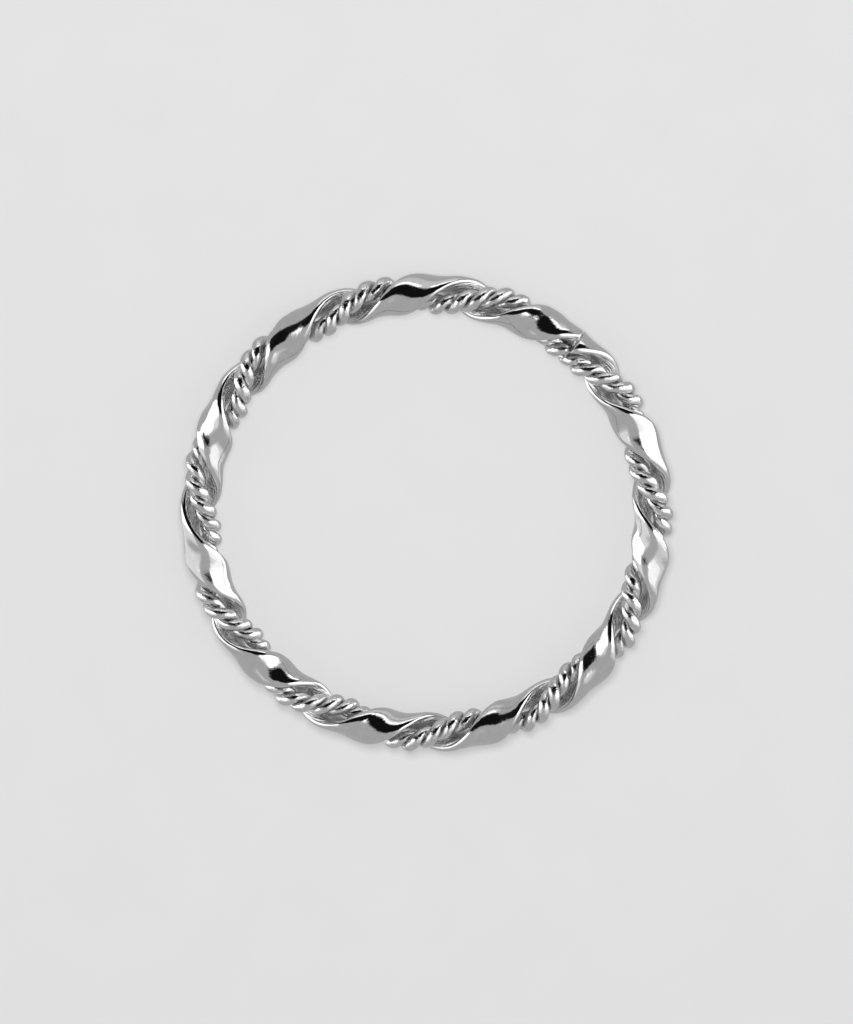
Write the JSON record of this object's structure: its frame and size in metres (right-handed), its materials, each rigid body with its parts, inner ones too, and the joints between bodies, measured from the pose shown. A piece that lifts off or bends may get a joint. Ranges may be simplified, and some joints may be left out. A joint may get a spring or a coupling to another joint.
{
  "type": "twisted wire ring",
  "caption": "Slim finger ring of smooth half-round wire twisted with a fine two-wire rope, bent into a hoop and closed by a solder joint.",
  "frame": {"origin": "on the surface that the ring lies on, at the middle of the finger hole", "axes": "+Z along the finger hole's axis, upward; +Y toward the ring's top in its front view, with the solder joint 39.4 degrees from +Y toward +X"},
  "size_m": [0.0206, 0.0206, 0.0017],
  "materials": {
    "polished_silver": "mirror-polished silver with fine wear",
    "rope_silver": "softly polished silver, duller in the grooves"
  },
  "bodies": {
    "root": {"smooth_wire": "polished_silver", "rope_wire_a": "rope_silver", "rope_wire_b": "rope_silver"}
  },
  "joints": []
}
